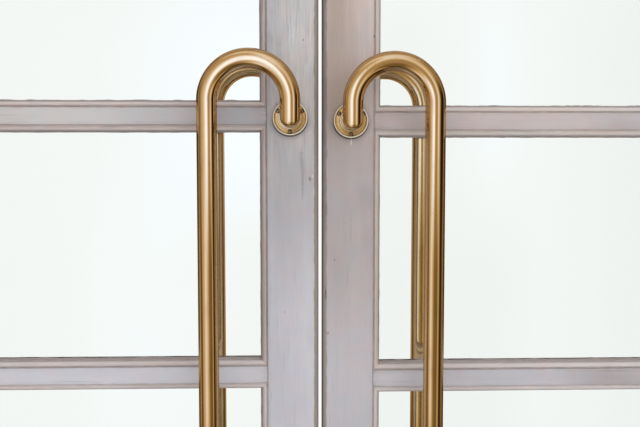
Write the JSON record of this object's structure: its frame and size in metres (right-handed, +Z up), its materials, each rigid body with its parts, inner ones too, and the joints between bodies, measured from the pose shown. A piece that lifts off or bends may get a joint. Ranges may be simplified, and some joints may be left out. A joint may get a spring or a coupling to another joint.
{
  "type": "glazed double swing door",
  "caption": "Pair of painted timber swing doors with landscape panes in a frame, with long brass cane pull handles on both faces.",
  "frame": {"origin": "on the floor under the threshold, midway between the jambs and in the middle of the frame's depth", "axes": "+Z up, +Y from the outside to the inside, +X to the right seen from outside"},
  "size_m": [1.706, 0.181, 2.429],
  "materials": {
    "painted_timber": "worn satin paint, warm light grey, with brush marks, chips and dirt in the quirks",
    "threshold_oak": "oiled dark hardwood, worn in the middle",
    "brass": "polished brass, slightly tarnished",
    "pivot_steel": "bright steel, lightly greased",
    "glass": "clear float glass, smooth"
  },
  "bodies": {
    "frame": {"threshold": "threshold_oak", "left_jamb": "painted_timber", "right_jamb": "painted_timber", "head": "painted_timber", "floor_springs": "brass", "top_centres": "brass"},
    "left_leaf": {"left_meeting_stile": "painted_timber", "left_hanging_stile": "painted_timber", "left_top_rail": "painted_timber", "left_bottom_rail": "painted_timber", "left_glazing_rail_1": "painted_timber", "left_glazing_rail_2": "painted_timber", "left_glazing_rail_3": "painted_timber", "left_glazing_rail_4": "painted_timber", "left_glass": "glass", "left_outside_beads": "painted_timber", "left_inside_beads": "painted_timber", "left_outside_pull": "brass", "left_inside_pull": "brass", "left_outside_roses": "brass", "left_inside_roses": "brass", "left_bottom_pivot": "pivot_steel", "left_top_pivot": "pivot_steel"},
    "right_leaf": {"right_meeting_stile": "painted_timber", "right_hanging_stile": "painted_timber", "right_top_rail": "painted_timber", "right_bottom_rail": "painted_timber", "right_glazing_rail_1": "painted_timber", "right_glazing_rail_2": "painted_timber", "right_glazing_rail_3": "painted_timber", "right_glazing_rail_4": "painted_timber", "right_glass": "glass", "right_outside_beads": "painted_timber", "right_inside_beads": "painted_timber", "right_outside_pull": "brass", "right_inside_pull": "brass", "right_outside_roses": "brass", "right_inside_roses": "brass", "right_bottom_pivot": "pivot_steel", "right_top_pivot": "pivot_steel"}
  },
  "joints": [
    {"name": "left_leaf_swing", "type": "hinge", "parent": "frame", "child": "left_leaf", "pos_m": [-0.7805, 0, 0.03], "axis": [0, 0, 1], "range_deg": [-90, 90], "stiffness_Nm_per_rad": 14},
    {"name": "right_leaf_swing", "type": "hinge", "parent": "frame", "child": "right_leaf", "pos_m": [0.7805, 0, 0.03], "axis": [0, 0, -1], "range_deg": [-90, 90], "stiffness_Nm_per_rad": 14}
  ]
}
